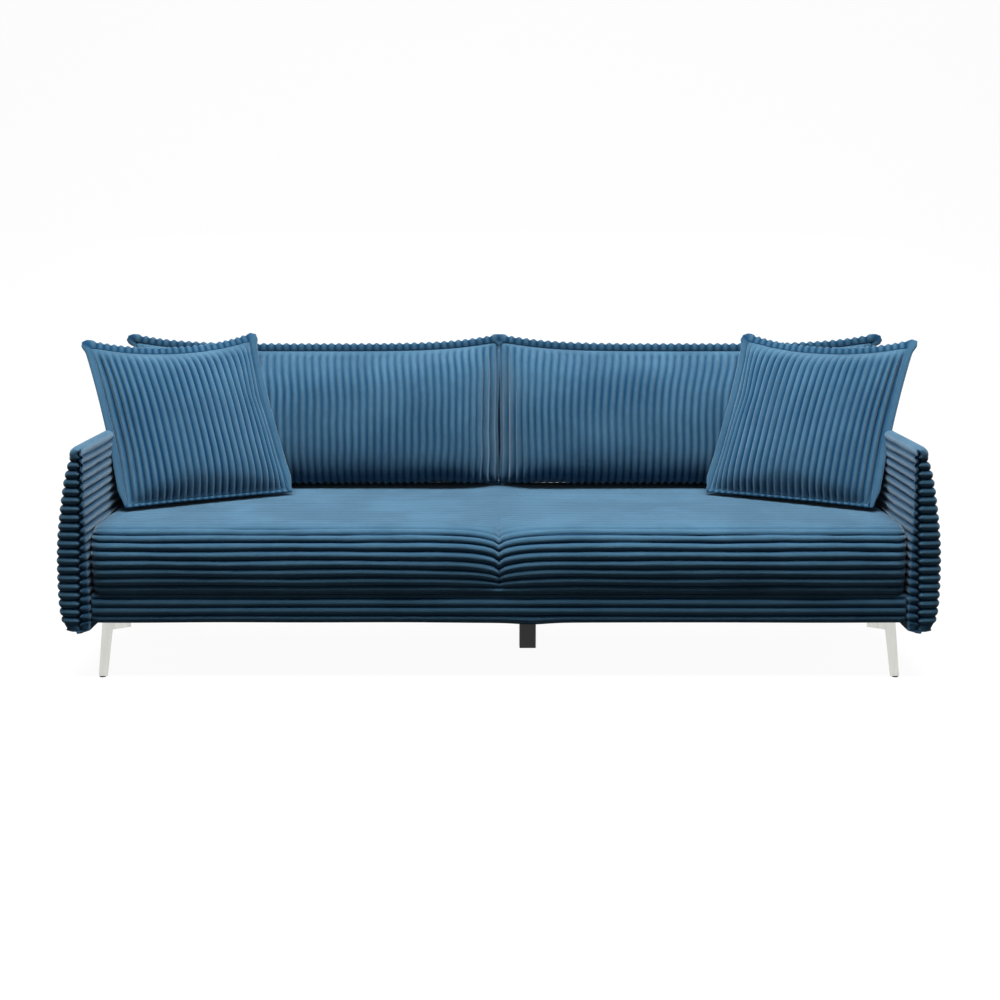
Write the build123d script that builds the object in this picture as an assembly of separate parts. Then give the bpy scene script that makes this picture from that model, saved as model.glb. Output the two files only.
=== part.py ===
from build123d import *
import math
import os

# A three-seat pull-out sofa bed, in millimetres. +X is the sitter's left seen from the front of the
# sofa (to the right of somebody facing it), +Y points to the back, +Z up. The origin is on the floor
# under the middle of the sofa. The seat slides forward out of the arms and the backrest leaf, hinged to
# the seat's rear edge, lies down behind it.

# ---- overall sizes
overall_width = 2500.0
overall_depth = 1020.0
leg_height = 162.0            # floor to the underside of the plinth
plinth_height = 84.0          # front rail, up to the parting line under the seat
seat_top = 440.0              # floor to the sitting surface, also the bed surface
hinge_room = 200.0            # hinge line to the sofa's rear
arm_height = 664.0
back_lean = 12.0              # degrees from upright, backrest leaf at rest
leaf_end_gap = 64.0           # flat leaf in front of the rear panel

# ---- boards, plates and clearances
board = 20.0                  # plinth and side boards
rail_section = 40.0           # timber rails, across
front_inset = 20.0            # cushion front behind the arms' noses
parting_gap = 2.0             # seat unit over the plinth
lip_setback = 38.0            # side lip stops short of the hinge
fit_gap = 0.4                 # soft piece next to a piece of another body
arm_gap = 3.0                 # seat or leaf pad beside the arm
plate = 5.0                   # hinge plates
guide_plate_thickness = 4.0
plate_gap = 2.0               # between a seat plate and a leaf plate
hardware_room = 37.0          # beside the seat's frame, for slide, hinge and guide
bracket_offset = 6.0          # hinge bracket from the side of the seat's frame pads
frame_reveal = 5.0            # timber frames narrower than the pads on them
cover = 12.0                  # padded cover on the plinth's rear and on the leaf's rear
front_pad = 16.0              # padding in front of the plinth's front board
board_reveal = 6.0            # front board inside its cover, top and bottom
seat_rail_height = 88.0
lip_height = 45.0             # full-width edge of the seat's top
overlap = 1.0                 # how far joined or cutting shapes run into each other

side_board_height = 132.0
rear_setback = 50.0           # rear panel in front of the arms' rear ends
rear_panel_drop = 45.0        # rear panel below the seat's top
rest_rail_height = 30.0
rest_rail_setback = 30.0      # behind the hinge line
felt = 6.0
felt_length = 120.0
post_width = 60.0
post_spacing = 700.0
cross_rail_depth = 236.0      # first cross rail behind the front plane
cross_rail_height = 28.0
dust_cover_thickness = 2.0
front_cover_radius = 10.0

# ---- arms
arm_foot_thickness = 104.0    # inner face to the widest point
arm_top_thickness = 26.0
arm_drop = 16.0               # arm's lower edge below the plinth
arm_lean = 6.0                # inner face, outwards from its foot to its top
arm_board_thickness = 16.0
arm_board_cover = 4.0         # least padding on the board's inner face
arm_board_inset = 40.0        # board inside the arm's front, rear and top
arm_nose_radius = 8.0
bolt_radius = 4.0
bolt_head_radius = 8.0
bolt_head_height = 3.0
bolt_lift = 28.0              # above the plinth's underside
bolt_inset = 98.0             # first and last bolt from the side board's ends

# ---- legs
leg_width = 28.0
leg_foot_width = 25.0
leg_splay = 17.0
leg_wing = 80.0
leg_wing_height = 22.0
leg_wing_tip = 14.0
leg_sheet = 4.0
leg_inset = 26.0              # outer edge of the leg's top, in from the arm
leg_setback = 40.0            # behind the front plane, and in front of the rear
glide_height = 4.0
glide_radius = 9.0
support_leg_side = 50.0
support_leg_x = 87.0
support_leg_depth = 375.0     # centre, behind the front plane

# ---- slide
roller_radius = 16.0
roller_width = 12.0
roller_play = 0.5             # roller to each flange of the channel
channel_wall = 3.0
channel_depth = 17.0
axle_radius = 5.0
axle_clearance = 0.05
axle_grip = 15.0              # axle inside the seat's side rail
axle_lift = 9.5               # axle over the underside of the seat's rails
channel_end_gap = 4.0         # roller to the channel's open end, seat fully out
channel_stop = 20.0           # channel's rear end in front of the hinge line
rear_roller_setback = 40.0    # rear axle in front of the hinge line

# ---- hinge and guide
hinge_gap = 8.0               # seat cushion to the hinge line
hinge_pin_radius = 5.0
hinge_eye_radius = 14.0
pin_head_radius = 9.0
pin_head_height = 3.0
bracket_length = 90.0
spacer_margin = 5.0
hinge_clearance = 0.05
stud_radius = 6.0
stud_play = 0.6
stud_boss = 12.0              # plate around the stud
plate_margin = 4.0            # hinge arm inside the leaf's frame
hinge_arm_reach = 150.0       # hinge arm along the leaf
stud_along = -60.0            # guide stud from the pivot, along the leaf
stud_behind = 110.0           # guide stud from the pivot, behind the leaf's face
guide_margin = 12.0           # plate left around the cam slot

webbing_count = 14
webbing_width = 70.0
webbing_thickness = 2.0
webbing_sag = 10.0            # centre rail below the webbing
apron_thickness = 40.0
seat_edge_radius = 38.0
frame_setback = 14.0          # timber frame in front of the cushion's rear
side_rail_thickness = 25.0

# ---- backrest leaf
leaf_length = 420.0
leaf_pad = 60.0
leaf_start = 6.0              # pad's lower edge, along the leaf from the pivot
leaf_overhang = 6.0           # pad past the top rail
leaf_frame = 38.0
leaf_side_step = 30.0         # full-width part of the pad starts here
panel_thickness = 5.0
stile_width = 45.0

# ---- loose cushions
back_cushion_foot = 190.0     # thickness over the seat
back_cushion_head = 118.0
back_cushion_height = 455.0
back_cushion_gap = 8.0        # between the two, at the middle
cushion_edge = 40.0
cushion_heel = 62.0           # rounding over the hinge, at the foot of the leaf
pillow_side = 460.0
pillow_thickness = 110.0
pillow_edge = 45.0
pillow_yaw = 32.0             # turned out of the corner
pillow_tilt = 32.0            # leaning back
pillow_inset = 196.0          # middle of the pillow from the arm
pillow_forward = 292.0        # middle of the pillow in front of the hinge line
pillow_lift = 250.0           # middle of the pillow over the seat

# ---- worked out from the values above
half_width = overall_width / 2
plinth_bottom = leg_height
plinth_top = plinth_bottom + plinth_height
seat_bottom = plinth_top + parting_gap
arm_foot = half_width - arm_foot_thickness
pad_half = arm_foot - arm_gap
side_board_x = arm_foot - board
guide_plate_x = side_board_x - guide_plate_thickness
channel_x = guide_plate_x - channel_depth
body_half = side_board_x - hardware_room
seat_plate_x = body_half + bracket_offset
leaf_plate_x = seat_plate_x + plate + plate_gap
hinge_pin_end = leaf_plate_x + plate + plate_gap
channel_height = 2 * (roller_radius + roller_play + channel_wall)
axle_z = seat_bottom + axle_lift
channel_bottom = axle_z - channel_height / 2
leaf_thickness = leaf_pad + leaf_frame + cover
fold_angle = 90.0 - back_lean
rail_top = seat_bottom + seat_rail_height
slab_bottom = rail_top + webbing_thickness
lip_bottom = seat_top - lip_height
pivot_depth = overall_depth - hinge_room
seat_back = pivot_depth - hinge_gap
apron_back = front_inset + apron_thickness
rear_panel_depth = overall_depth - rear_setback
rear_panel_top = seat_top - rear_panel_drop
leaf_end = leaf_length + leaf_overhang
slide_travel = pivot_depth + leaf_end + leaf_end_gap - rear_panel_depth
side_board_ends = (apron_back + parting_gap, rear_panel_depth)
bolt_depths = (side_board_ends[0] + bolt_inset, sum(side_board_ends) / 2, side_board_ends[1] - bolt_inset)
channel_ends = (apron_back, pivot_depth - channel_stop)
front_roller_depth = channel_ends[0] + channel_end_gap + roller_radius + slide_travel
rear_roller_depth = pivot_depth - rear_roller_setback
pivot_y = pivot_depth - overall_depth / 2
leaf_underside = seat_top - leaf_thickness - fit_gap
rest_depth = (pivot_depth + rest_rail_setback, pivot_depth + rest_rail_setback + rail_section)
bolt_z = plinth_bottom + bolt_lift
sides = {"left": -1, "right": 1}

os.makedirs("parts", exist_ok=True)


def save(name, *solids):
    """Write one node, made of one or more separate solids."""
    shape = solids[0] if len(solids) == 1 else Compound(children=list(solids))
    shape.label = name
    export_step(shape, f"parts/{name}.step")


def block(x, depth, z):
    """A box from three (low, high) pairs; depth counts back from the front plane."""
    low = (min(x), min(depth) - overall_depth / 2, min(z))
    size = [max(pair) - min(pair) for pair in (x, depth, z)]
    return Pos(*low) * Box(*size, align=(Align.MIN, Align.MIN, Align.MIN))


def pin(radius, x, depth, z):
    """A round bar along X between two x values."""
    length = max(x) - min(x)
    centre = (sum(x) / 2, depth - overall_depth / 2, z)
    return Pos(*centre) * Rot(0, 90, 0) * Cylinder(radius, length)


def side_plate(outline, x):
    """A flat plate along X from an outline of (depth, z) points."""
    points = [(depth - overall_depth / 2, z) for depth, z in outline]
    face = make_face(Polyline(*points, close=True))
    return Pos(min(x), 0, 0) * extrude(Plane.YZ * face, max(x) - min(x))


def on_leaf(shape):
    """Put a shape from the leaf's own frame (X across, Y behind its face, Z along it) in place."""
    return Pos(0, pivot_y, seat_top) * Rot(-back_lean, 0, 0) * shape


def leaf_block(x, along, behind):
    """A box in the leaf's own frame, put in place."""
    size = [max(pair) - min(pair) for pair in (x, behind, along)]
    corner = (min(x), min(behind), min(along))
    return on_leaf(Pos(*corner) * Box(*size, align=(Align.MIN, Align.MIN, Align.MIN)))


def leaf_point(along, behind, turn=0.0, slid=0.0):
    """Depth and height of a point of the leaf, with the leaf turned and the seat pulled out."""
    lean = math.radians(back_lean + turn)
    depth = pivot_depth - slid + along * math.sin(lean) + behind * math.cos(lean)
    return depth, seat_top + along * math.cos(lean) - behind * math.sin(lean)


def mirrored(side, x):
    """An x pair on the left or right side."""
    return tuple(side * value for value in x)


# ---- plinth
def plinth():
    """Boards, rails and covers of the fixed base."""
    cover_back = front_inset + front_pad + board
    front_board = block((-guide_plate_x, guide_plate_x), (front_inset + front_pad, cover_back),
                        (plinth_bottom + board_reveal, plinth_top - board_reveal))
    save("base_front_board", front_board)
    wrap = block((-pad_half, pad_half), (front_inset, cover_back), (plinth_bottom, plinth_top))
    wrap = fillet(wrap.edges().filter_by(Axis.X).group_by(Axis.Y)[0], front_cover_radius)
    save("base_front_cover", wrap - front_board)
    rear_x = (-arm_foot, arm_foot)
    save("base_rear_panel", block(rear_x, (rear_panel_depth, rear_panel_depth + board),
                                  (plinth_bottom, rear_panel_top)))
    save("base_rear_cover", block(rear_x, (rear_panel_depth + board, rear_panel_depth + board + cover),
                                  (plinth_bottom, rear_panel_top)))
    inner_front = cover_back
    beam_top = plinth_bottom + rail_section
    cross_rail_top = beam_top + cross_rail_height
    beam_x = (support_leg_x - rail_section / 2, support_leg_x + rail_section / 2)
    dust_top = plinth_bottom + dust_cover_thickness
    save("base_centre_beam", block(beam_x, (inner_front, rear_panel_depth), (dust_top, beam_top)))
    save("base_dust_cover", block((-side_board_x, side_board_x), (inner_front, rear_panel_depth),
                                  (plinth_bottom, dust_top)))
    rails = []
    for depth in (cross_rail_depth, (cross_rail_depth + rest_depth[0]) / 2, rest_depth[0]):
        rails.append(block((-side_board_x, side_board_x), (depth, depth + rail_section),
                           (beam_top, cross_rail_top)))
    save("base_cross_rails", *rails)
    post_top = leaf_underside - felt - rest_rail_height
    posts = []
    for x in (-post_spacing, support_leg_x, post_spacing):
        posts.append(block((x - post_width / 2, x + post_width / 2), rest_depth, (cross_rail_top, post_top)))
    save("rest_rail_posts", *posts)
    rest_x = body_half - frame_reveal
    save("backrest_rest_rail", block((-rest_x, rest_x), rest_depth, (post_top, post_top + rest_rail_height)))
    felts = []
    for share in (-0.75, -0.25, 0.25, 0.75):
        middle = share * rest_x
        felts.append(block((middle - felt_length / 2, middle + felt_length / 2), rest_depth,
                           (leaf_underside - felt, leaf_underside)))
    save("rest_felt_pads", *felts)
    for name, side in sides.items():
        side_x = mirrored(side, (side_board_x, arm_foot))
        side_board = block(side_x, side_board_ends,
                           (plinth_bottom, plinth_bottom + side_board_height))
        for depth in bolt_depths:
            side_board -= pin(bolt_radius, mirrored(side, (side_board_x - overlap, arm_foot + overlap)),
                              depth, bolt_z)
        save(f"base_side_board_{name}", side_board)


# ---- arms
def arm_outline(side):
    """The arm's cross-section, seen from the front: a wedge with a bulged outer face."""
    foot = plinth_bottom - arm_drop
    lean_start = plinth_bottom + side_board_height
    inner_top = arm_foot + arm_lean
    outer_top = inner_top + arm_top_thickness
    crown = arm_height - arm_top_thickness / 2
    bulge = half_width
    rise = crown - foot
    inner = Polyline((arm_foot, foot), (arm_foot, lean_start), (inner_top, crown))
    top = ThreePointArc((inner_top, crown), ((inner_top + outer_top) / 2, arm_height), (outer_top, crown))
    outer = Spline((outer_top, crown), (bulge - 0.42 * arm_foot_thickness, foot + 0.88 * rise),
                   (bulge - 0.22 * arm_foot_thickness, foot + 0.70 * rise),
                   (bulge, foot + 0.36 * rise), (bulge - 0.14 * arm_foot_thickness, foot))
    closing = Line(outer @ 1, (arm_foot, foot))
    face = make_face([inner, top, outer, closing])
    return face if side > 0 else mirror(face, Plane.YZ)


def arms():
    """Padded wedge arms over a board, bolted to the side boards."""
    for name, side in sides.items():
        front = Plane((0, -overall_depth / 2, 0), x_dir=(1, 0, 0), z_dir=(0, 1, 0))
        outline = arm_outline(side)
        shell = extrude(front * mirror(outline, Plane.XZ), overall_depth)
        ends = shell.edges().group_by(Axis.Y)
        shell = fillet([*ends[0], *ends[-1]], arm_nose_radius)
        inner_x = arm_foot + arm_lean + arm_board_cover
        board_x = mirrored(side, (inner_x, inner_x + arm_board_thickness))
        frame = block(board_x, (arm_board_inset, overall_depth - arm_board_inset),
                      (plinth_bottom - arm_drop, arm_height - arm_board_inset))
        shafts = []
        heads = []
        for depth in bolt_depths:
            shafts.append(pin(bolt_radius, mirrored(side, (side_board_x, inner_x + arm_board_thickness)),
                              depth, bolt_z))
            head_x = mirrored(side, (side_board_x - bolt_head_height, side_board_x))
            heads.append(pin(bolt_head_radius, head_x, depth, bolt_z))
        for shaft in shafts:
            frame -= shaft
            shell -= shaft
        save(f"arm_board_{name}", frame)
        save(f"arm_{name}", shell - frame)
        save(f"arm_bolts_{name}", *[shaft + head for shaft, head in zip(shafts, heads)])


# ---- legs
def corner_leg(side, front):
    """A sheet-metal corner leg: two folded faces, each with a wing under the plinth."""
    top_x = arm_foot - leg_inset
    foot = glide_height
    outer_foot = top_x + leg_splay
    face_points = [(top_x, leg_height), (outer_foot, foot), (outer_foot - leg_foot_width, foot),
                   (top_x - leg_width, leg_height - leg_wing_height),
                   (top_x - leg_wing, leg_height - leg_wing_tip), (top_x - leg_wing, leg_height)]
    front_face = make_face(Polyline(*face_points, close=True))
    near = leg_setback - overall_depth / 2
    facing = Plane((0, near, 0), x_dir=(1, 0, 0), z_dir=(0, -1, 0))
    sheet = extrude(facing * front_face, -leg_sheet)
    side_points = [(0, leg_height), (0, foot), (leg_foot_width, foot),
                   (leg_width, leg_height - leg_wing_height),
                   (leg_wing, leg_height - leg_wing_tip), (leg_wing, leg_height)]
    side_face = make_face(Polyline(*side_points, close=True))
    wing = extrude(Plane((0, near, 0), x_dir=(0, 1, 0), z_dir=(1, 0, 0)) * side_face, leg_sheet)
    splay = math.degrees(math.atan2(leg_splay, leg_height - foot))
    wing = Pos(top_x - leg_sheet, 0, leg_height) * Rot(0, -splay, 0) * Pos(0, 0, -leg_height) * wing
    trim = block((0, half_width), (0, overall_depth), (foot, leg_height))
    leg = (sheet + wing) & trim
    if not front:
        leg = mirror(leg, Plane.XZ)
    return leg if side > 0 else mirror(leg, Plane.YZ)


def legs():
    """Chrome corner legs, the black support leg and the glides under them."""
    foot_x = arm_foot - leg_inset + leg_splay - glide_radius
    foot_y = overall_depth / 2 - leg_setback - glide_radius
    glides = []
    for name, side in sides.items():
        save(f"front_leg_{name}", corner_leg(side, True))
        save(f"rear_leg_{name}", corner_leg(side, False))
        for end in (-1, 1):
            glide = Cylinder(glide_radius, glide_height)
            glides.append(Pos(side * foot_x, end * foot_y, glide_height / 2) * glide)
    save("leg_glides", *glides)
    half = support_leg_side / 2
    post = block((support_leg_x - half, support_leg_x + half),
                 (support_leg_depth - half, support_leg_depth + half), (0, leg_height))
    save("centre_support_leg", fillet(post.edges().filter_by(Axis.Z), 5))


# ---- slide and guide
def guide_path(steps=12):
    """Points of the cam slot: where the guide stud travels while the seat slides and the leaf turns."""
    points = []
    for step in range(steps + 1):
        share = step / steps
        points.append(leaf_point(stud_along, stud_behind, fold_angle * share, slide_travel * share))
    return points


def slot_face(route, reach, samples=12):
    """A slot of even width about a curve, closed by a half circle at each end."""
    shares = [index / samples for index in range(samples + 1)]
    normals = [(route % share).rotate(Axis.Z, 90) * reach for share in shares]
    upper = Spline(*[route @ share + normal for share, normal in zip(shares, normals)])
    lower = Spline(*[route @ share - normal for share, normal in zip(shares, normals)])
    start = ThreePointArc(lower @ 0, route @ 0 - (route % 0) * reach, upper @ 0)
    end = ThreePointArc(upper @ 1, route @ 1 + (route % 1) * reach, lower @ 1)
    return make_face([upper, end, lower, start])


def slides():
    """Roller channels and the cam plates that turn the leaf as the seat is pulled out."""
    path = guide_path()
    route = Spline(*[(depth - overall_depth / 2, z) for depth, z in path])
    slot = slot_face(route, stud_radius + stud_play)
    depths = [depth for depth, z in path]
    heights = [z for depth, z in path]
    front, rear = min(depths) - 2 * guide_margin, max(depths) + 2 * guide_margin
    top = max(heights) + guide_margin + stud_radius
    outline = [(front, channel_bottom), (rear, channel_bottom), (rear, top), (front, top)]
    for name, side in sides.items():
        low_x = min(mirrored(side, (guide_plate_x, side_board_x)))
        guide = side_plate(outline, mirrored(side, (guide_plate_x, side_board_x)))
        cut = Pos(low_x - overlap, 0, 0) * extrude(Plane.YZ * slot, guide_plate_thickness + 2 * overlap)
        save(f"cam_plate_{name}", guide - cut)
        outer = block(mirrored(side, (channel_x, guide_plate_x)), channel_ends,
                      (channel_bottom, channel_bottom + channel_height))
        hollow = block(mirrored(side, (channel_x - overlap, guide_plate_x - channel_wall)),
                       (channel_ends[0] - overlap, channel_ends[1] + overlap),
                       (channel_bottom + channel_wall, channel_bottom + channel_height - channel_wall))
        save(f"slide_channel_{name}", outer - hollow)


def rollers():
    """Nylon rollers on axle studs that stand out of the seat's side rails."""
    roller_x = (channel_x + overlap, channel_x + overlap + roller_width)
    axles = []
    for place, depth in (("front", front_roller_depth), ("rear", rear_roller_depth)):
        for name, side in sides.items():
            wheel = pin(roller_radius, mirrored(side, roller_x), depth, axle_z)
            wheel -= pin(axle_radius + axle_clearance,
                         mirrored(side, (roller_x[0] - overlap, roller_x[1] + overlap)), depth, axle_z)
            save(f"{place}_roller_{name}", wheel)
            axles.append(pin(axle_radius, mirrored(side, (body_half - axle_grip, roller_x[1] - overlap)),
                             depth, axle_z))
    save("roller_axles", *axles)
    return axles


# ---- seat unit
def seat(axles):
    """The sliding seat: a timber frame with webbing, and one upholstered cushion with an apron."""
    frame_x = body_half - frame_reveal
    rail_z = (seat_bottom, rail_top)
    frame_back = seat_back - frame_setback
    rail_x = frame_x - side_rail_thickness
    pins = []
    eye_depth, eye_z = pivot_depth, seat_top
    for name, side in sides.items():
        rail = block(mirrored(side, (rail_x, frame_x)), (apron_back, frame_back), rail_z)
        for axle in axles:
            rail -= axle
        save(f"seat_side_rail_{name}", rail)
        # a spacer block carries the hinge bracket out to the side of the cushion
        bracket_x = mirrored(side, (seat_plate_x, seat_plate_x + plate))
        bracket_bottom = (rail_z[0] + rail_top) / 2
        foot = [(frame_back - bracket_length, bracket_bottom), (frame_back, bracket_bottom),
                (frame_back, rail_top), (eye_depth + hinge_eye_radius, eye_z),
                (eye_depth - hinge_eye_radius, eye_z), (frame_back - bracket_length / 3, rail_top)]
        bracket = side_plate(foot, bracket_x) + pin(hinge_eye_radius, bracket_x, eye_depth, eye_z)
        spacer = block(mirrored(side, (frame_x, seat_plate_x)),
                       (frame_back - bracket_length + spacer_margin, frame_back - spacer_margin),
                       (bracket_bottom + spacer_margin, rail_top - spacer_margin))
        save(f"hinge_bracket_{name}", bracket + spacer)
        shaft = pin(hinge_pin_radius, mirrored(side, (seat_plate_x + plate, hinge_pin_end)), eye_depth, eye_z)
        cap = pin(pin_head_radius, mirrored(side, (hinge_pin_end, hinge_pin_end + pin_head_height)),
                  eye_depth, eye_z)
        pins.append(shaft + cap)
    save("hinge_pins", *pins)
    save("seat_front_rail", block((-rail_x, rail_x), (apron_back, apron_back + rail_section), rail_z))
    save("seat_rear_rail", block((-rail_x, rail_x), (frame_back - rail_section, frame_back), rail_z))
    save("seat_centre_rail", block((-rail_section / 2, rail_section / 2),
                                   (apron_back + rail_section, frame_back - rail_section),
                                   (rail_z[0], rail_top - webbing_sag)))
    straps = []
    strap_pitch = 2 * rail_x / webbing_count
    for index in range(webbing_count):
        x = -rail_x + strap_pitch * (index + 0.5)
        straps.append(block((x - webbing_width / 2, x + webbing_width / 2),
                            (apron_back + frame_reveal, frame_back - frame_reveal),
                            (rail_top, rail_top + webbing_thickness)))
    save("seat_webbing", *straps)
    outline = [(front_inset, seat_bottom), (apron_back - fit_gap, seat_bottom),
               (apron_back - fit_gap, lip_bottom), (seat_back - lip_setback, lip_bottom),
               (seat_back - lip_setback, seat_top),
               (front_inset, seat_top)]
    cushion = side_plate(outline, (-pad_half, pad_half))
    slab = block((-body_half, body_half), (apron_back - overlap, seat_back), (slab_bottom, seat_top))
    cushion = cushion + slab
    front_top = cushion.edges().filter_by(Axis.X).group_by(Axis.Y)[0].sort_by(Axis.Z)[-1]
    save("seat_cushion", fillet(front_top, seat_edge_radius))


# ---- backrest leaf
def backrest():
    """The leaf that lies down behind the seat: frame, bed pad, rear cover and its hinge arms."""
    frame_x = body_half - frame_reveal
    stile_x = frame_x - stile_width
    frame_w = (leaf_pad, leaf_pad + leaf_frame)
    along = (leaf_start + leaf_overhang, leaf_length)
    between = (along[0] + rail_section, along[1] - rail_section)
    save("backrest_bottom_rail", leaf_block((-stile_x, stile_x), (along[0], between[0]), frame_w))
    save("backrest_top_rail", leaf_block((-stile_x, stile_x), (between[1], along[1]), frame_w))
    save("backrest_centre_stile", leaf_block((-stile_width / 2, stile_width / 2), between, frame_w))
    panels = []
    panel_w = (frame_w[0], frame_w[0] + panel_thickness)
    for side in sides.values():
        panels.append(leaf_block(mirrored(side, (stile_width / 2, stile_x)), between, panel_w))
    save("backrest_panels", *panels)
    for name, side in sides.items():
        save(f"backrest_stile_{name}", leaf_block(mirrored(side, (stile_x, frame_x)), along, frame_w))
    pad = leaf_block((-pad_half, pad_half), (leaf_side_step, leaf_end), (0, leaf_pad))
    pad += leaf_block((-body_half, body_half), (leaf_start, leaf_side_step + overlap), (0, leaf_pad))
    save("backrest_pad", pad)
    save("backrest_rear_cover", leaf_block((-body_half, body_half), (leaf_start, leaf_end),
                                           (frame_w[1], frame_w[1] + cover)))
    studs = []
    for name, side in sides.items():
        plate_x = mirrored(side, (leaf_plate_x, leaf_plate_x + plate))
        strap = (frame_w[0] + plate_margin, frame_w[1] - plate_margin)
        outline = [leaf_point(hinge_arm_reach, strap[0]), leaf_point(hinge_arm_reach, strap[1]),
                   leaf_point(leaf_side_step, leaf_thickness),
                   leaf_point(stud_along, stud_behind + stud_boss),
                   leaf_point(stud_along - stud_boss, stud_behind),
                   leaf_point(-hinge_eye_radius, 0), leaf_point(hinge_eye_radius, 0),
                   leaf_point(leaf_side_step, strap[0])]
        arm = side_plate(outline, plate_x)
        arm += pin(hinge_eye_radius, plate_x, pivot_depth, seat_top)
        arm -= pin(hinge_pin_radius + hinge_clearance,
                   mirrored(side, (leaf_plate_x - overlap, leaf_plate_x + plate + overlap)),
                   pivot_depth, seat_top)
        spacer = leaf_block(mirrored(side, (frame_x, leaf_plate_x)),
                            (leaf_side_step + 2 * plate_margin, hinge_arm_reach - plate_margin), strap)
        save(f"backrest_hinge_arm_{name}", arm + spacer)
        stud_depth, stud_z = leaf_point(stud_along, stud_behind)
        stud_x = mirrored(side, (leaf_plate_x + plate, side_board_x))
        studs.append(pin(stud_radius, stud_x, stud_depth, stud_z))
    save("guide_studs", *studs)


# ---- loose cushions
def back_cushions():
    """Two wedge cushions that lean on the backrest leaf."""
    foot_z = seat_top + fit_gap
    rear_foot = leaf_point(fit_gap, -fit_gap)[0]
    rear_y = rear_foot - overall_depth / 2
    rear_head = leaf_point(back_cushion_height, -fit_gap)
    head_z = rear_head[1]
    outline = [(pivot_depth - back_cushion_foot, foot_z), (rear_foot, foot_z), rear_head,
               (rear_head[0] - back_cushion_head, head_z)]
    for name, side in sides.items():
        cushion = side_plate(outline, mirrored(side, (back_cushion_gap / 2, pad_half)))
        front_foot, front_head, rear_foot, rear_head_edge = cushion.edges().filter_by(Axis.X).sort_by(Axis.Y)
        cushion = fillet([front_foot, front_head, rear_head_edge], cushion_edge)
        heel = cushion.edges().filter_by(Axis.X).sort_by_distance((0, rear_y, foot_z))[0]
        save(f"back_cushion_{name}", fillet(heel, cushion_heel))


def throw_pillows():
    """Two square pillows that lean in the corners between arm and back cushion."""
    for name, side in sides.items():
        pillow = Box(pillow_side, pillow_thickness, pillow_side)
        pillow = fillet(pillow.edges(), pillow_edge)
        pillow = Rot(-pillow_tilt, 0, 0) * pillow
        middle = (pillow_inset - arm_foot, pivot_y - pillow_forward, seat_top + pillow_lift)
        pillow = Pos(*middle) * Rot(0, 0, pillow_yaw) * pillow
        save(f"throw_pillow_{name}", pillow if side < 0 else mirror(pillow, Plane.YZ))


plinth()
arms()
legs()
slides()
seat(rollers())
backrest()
back_cushions()
throw_pillows()
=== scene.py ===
import math

import bmesh
import bpy
import numpy as np
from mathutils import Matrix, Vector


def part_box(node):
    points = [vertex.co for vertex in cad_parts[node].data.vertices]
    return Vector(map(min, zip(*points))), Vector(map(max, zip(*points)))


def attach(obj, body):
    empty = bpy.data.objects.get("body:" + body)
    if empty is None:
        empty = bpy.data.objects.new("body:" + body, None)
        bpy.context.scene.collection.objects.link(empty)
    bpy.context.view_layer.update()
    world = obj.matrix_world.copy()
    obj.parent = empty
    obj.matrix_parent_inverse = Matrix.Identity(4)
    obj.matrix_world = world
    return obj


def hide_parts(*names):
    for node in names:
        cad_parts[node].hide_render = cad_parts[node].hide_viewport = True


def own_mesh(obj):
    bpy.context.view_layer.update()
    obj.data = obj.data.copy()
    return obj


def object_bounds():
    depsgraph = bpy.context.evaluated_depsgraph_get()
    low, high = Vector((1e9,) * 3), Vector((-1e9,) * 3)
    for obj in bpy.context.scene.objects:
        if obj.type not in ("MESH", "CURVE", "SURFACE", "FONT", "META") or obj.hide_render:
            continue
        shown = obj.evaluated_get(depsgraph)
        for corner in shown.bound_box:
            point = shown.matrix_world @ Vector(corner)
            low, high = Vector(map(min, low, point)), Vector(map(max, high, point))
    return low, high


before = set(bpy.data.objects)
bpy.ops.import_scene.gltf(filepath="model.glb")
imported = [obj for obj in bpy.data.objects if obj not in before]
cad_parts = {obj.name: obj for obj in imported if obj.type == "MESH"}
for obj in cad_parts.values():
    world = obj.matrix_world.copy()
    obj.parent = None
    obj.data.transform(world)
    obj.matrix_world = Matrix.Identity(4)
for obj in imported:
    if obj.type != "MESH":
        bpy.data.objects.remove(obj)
cad_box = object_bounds()

# ---- the cloth: plush cord with wide round wales
WALE = 0.0245            # one wale to the next on arms and plinth
WALE_SEAT = 0.0255       # on the seat cushion
WALE_BACK = 0.0235       # on the back cushions and the leaf
WALE_PILLOW = 0.0215     # on the throw pillows
WALE_RISE = 0.0095       # crest over groove on seat and arms
PLINTH_RISE = 0.0072
LEAF_RISE = 0.0055
REAR_RISE = 0.0060
CUSHION_RISE = 0.0070
PILLOW_RISE = 0.0075
# shares of a wale where a row of vertices lies, closer together in the groove
WALE_STATIONS = np.array([0.0, 0.07, 0.18, 0.34, 0.5, 0.66, 0.82, 0.93])
LEAF_STATIONS = np.array([0.0, 0.16, 0.34, 0.5, 0.66, 0.84])

# the leaf's lean at rest, and how a throw pillow is turned and tilted in its corner
LEAF_LEAN = math.radians(12.0)
PILLOW_YAW = math.radians(32.0)
PILLOW_TILT = math.radians(32.0)

# stuffing by inside air: pressure, steps and the furthest a point may move
AIR_PRESSURE = 1.6
AIR_STEPS = 18
AIR_REACH = 0.016

SIDES = {"left": -1.0, "right": 1.0}
MIRROR = np.array([-1.0, 1.0, 1.0])
joined = np.concatenate


# ---- numbers and curves
def box_of(node):
    """A CAD node's lowest and highest corner as arrays."""
    low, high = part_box(node)
    return np.array(low), np.array(high)


def wale(share):
    """Height across one wale: a super-ellipse, 0 in the groove and 1 on the crest."""
    across = np.abs(2.0 * np.mod(share, 1.0) - 1.0)
    return (1.0 - across ** 1.8) ** 0.66


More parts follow.
